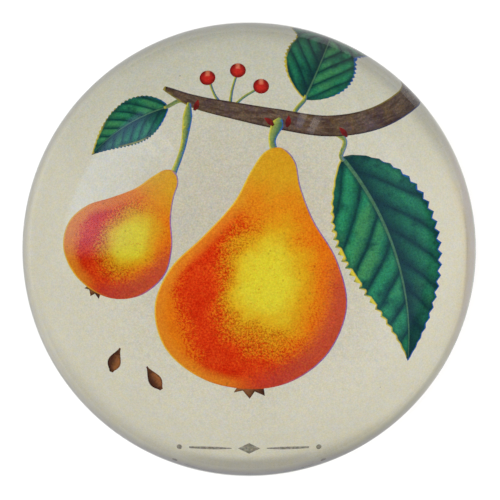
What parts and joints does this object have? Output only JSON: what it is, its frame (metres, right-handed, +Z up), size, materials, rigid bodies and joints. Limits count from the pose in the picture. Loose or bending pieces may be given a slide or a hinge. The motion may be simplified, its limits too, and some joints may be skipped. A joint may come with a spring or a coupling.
{
  "type": "domed glass paperweight",
  "caption": "Round glass paperweight: a clear magnifying dome over a printed paper disc, on a felt pad.",
  "frame": {"origin": "centre of the felt pad's underside, where the paperweight rests", "axes": "+Z up along the dome's axis; +Y towards the top of the picture under the glass, +X towards its right"},
  "size_m": [0.089, 0.089, 0.0375],
  "materials": {
    "glass": "polished",
    "paper": "matte",
    "felt": "matte"
  },
  "bodies": {
    "root": {"glass_dome": "glass", "paper_print": "paper", "felt_pad": "felt"}
  },
  "joints": []
}
